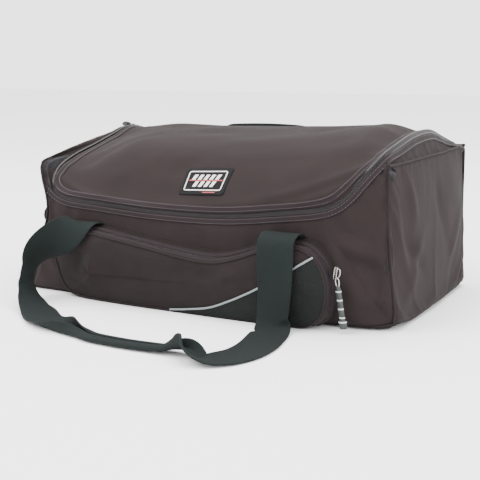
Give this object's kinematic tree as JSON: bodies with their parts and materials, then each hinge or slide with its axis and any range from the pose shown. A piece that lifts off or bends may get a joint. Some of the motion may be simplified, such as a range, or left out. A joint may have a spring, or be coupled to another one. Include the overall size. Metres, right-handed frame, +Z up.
{
  "type": "padded gig bag",
  "caption": "Foam-padded box-shaped gig bag with a zipped fold-back lid, a zipped front pocket and two webbing carry handles.",
  "frame": {"origin": "centre of the flat bottom of the bag body, on the surface it stands on", "axes": "+X along the bag's length, -Y out of the pocket side, +Z up"},
  "size_m": [0.5514, 0.5593, 0.2425],
  "materials": {
    "shell_fabric": "matte woven nylon, dark brown grey",
    "foam": "closed-cell foam sheet",
    "lining": "smooth thin lining cloth",
    "webbing": "ribbed polypropylene webbing, dark grey green",
    "zip_tape": "fine woven zip tape",
    "zip_coil": "nylon coil",
    "slider_metal": "nickel plated die casting",
    "pull_rubber": "moulded soft plastic",
    "label": "moulded patch",
    "accent_fabric": "smooth coated fabric, charcoal",
    "reflective": "silver reflective piping",
    "piping": "black bound piping"
  },
  "bodies": {
    "bag": {"back_foam": "foam", "back_lining": "lining", "back_panel": "shell_fabric", "back_seam_piping": "piping", "body_zip_coil": "zip_coil", "body_zip_tape": "zip_tape", "bottom_foam": "foam", "bottom_lining": "lining", "bottom_panel": "shell_fabric", "front_foam": "foam", "front_left_anchor": "webbing", "front_lining": "lining", "front_panel": "shell_fabric", "front_right_anchor": "webbing", "left_end_foam": "foam", "left_end_lining": "lining", "left_end_panel": "shell_fabric", "left_top_band": "shell_fabric", "pocket_accent_panel": "accent_fabric", "pocket_edge_piping": "piping", "pocket_front_panel": "shell_fabric", "pocket_gusset": "shell_fabric", "pocket_lower_gusset": "shell_fabric", "pocket_reflective_piping": "reflective", "pocket_zip_coil": "zip_coil", "pocket_zip_tape_front": "zip_tape", "pocket_zip_tape_rear": "zip_tape", "rear_left_anchor": "webbing", "rear_right_anchor": "webbing", "right_end_foam": "foam", "right_end_lining": "lining", "right_end_panel": "shell_fabric", "right_top_band": "shell_fabric"},
    "lid": {"lid_panel": "shell_fabric", "lid_foam": "foam", "lid_lining": "lining", "lid_zip_tape": "zip_tape", "lid_zip_coil": "zip_coil", "label_patch": "label"},
    "front_handle": {"front_handle_webbing": "webbing", "front_handle_grip": "webbing"},
    "rear_handle": {"rear_handle_webbing": "webbing", "rear_handle_grip": "webbing"},
    "pocket_slider": {"pocket_slider": "slider_metal"},
    "pocket_pull": {"pocket_pull": "pull_rubber"},
    "main_slider": {"main_slider": "slider_metal"},
    "main_pull": {"main_pull": "pull_rubber"}
  },
  "joints": [
    {"name": "lid_hinge", "type": "hinge", "parent": "bag", "child": "lid", "pos_m": [0, 0.1578, 0.2072], "axis": [-1, 0, 0], "range_deg": [0, 95]},
    {"name": "front_handle_lift", "type": "hinge", "parent": "bag", "child": "front_handle", "pos_m": [0, -0.18, 0.123], "axis": [-1, 0, 0], "range_deg": [0, 100]},
    {"name": "rear_handle_fold", "type": "hinge", "parent": "bag", "child": "rear_handle", "pos_m": [0, 0.166, 0.116], "axis": [-1, 0, 0], "range_deg": [0, 100]},
    {"name": "pocket_slider_travel", "type": "hinge", "parent": "bag", "child": "pocket_slider", "pos_m": [0.157, -0.18225, 0.055], "axis": [0, -1, 0], "range_deg": [0, 45]},
    {"name": "pocket_pull_swing", "type": "hinge", "parent": "pocket_slider", "child": "pocket_pull", "pos_m": [0.21032, -0.18225, 0.07047], "axis": [0, -1, 0], "range_deg": [0, 60]},
    {"name": "main_slider_travel", "type": "slide", "parent": "bag", "child": "main_slider", "axis": [0, -0.9633, 0.2686], "range_m": [0, 0.06]},
    {"name": "main_pull_swing", "type": "hinge", "parent": "main_slider", "child": "main_pull", "pos_m": [-0.2637, 0.12965, 0.22046], "axis": [-1, 0, 0], "range_deg": [0, 150]}
  ]
}
